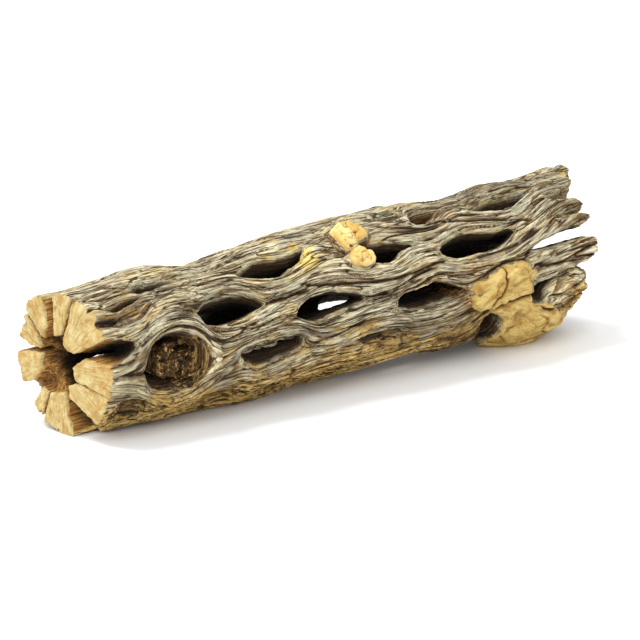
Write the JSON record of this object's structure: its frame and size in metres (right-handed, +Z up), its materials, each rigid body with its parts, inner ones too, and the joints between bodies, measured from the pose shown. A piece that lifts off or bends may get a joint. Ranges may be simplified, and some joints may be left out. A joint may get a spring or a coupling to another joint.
{
  "type": "piece of driftwood",
  "caption": "Hollow, weathered driftwood stick: the dried skeleton of a cholla cactus stem, with an open core and lens-shaped windows through its wall.",
  "frame": {"origin": "centre of the part's box, on the surface it rests on", "axes": "+X along the stem from its cut end to its far end, +Y towards the back, +Z up as the stick lies on a surface"},
  "size_m": [0.251, 0.0578, 0.0639],
  "materials": {
    "weathered_wood": "weathered silver grey wood, honey yellow where it is cut or worn, dark brown inside"
  },
  "bodies": {
    "root": {"driftwood": "weathered_wood"}
  },
  "joints": []
}
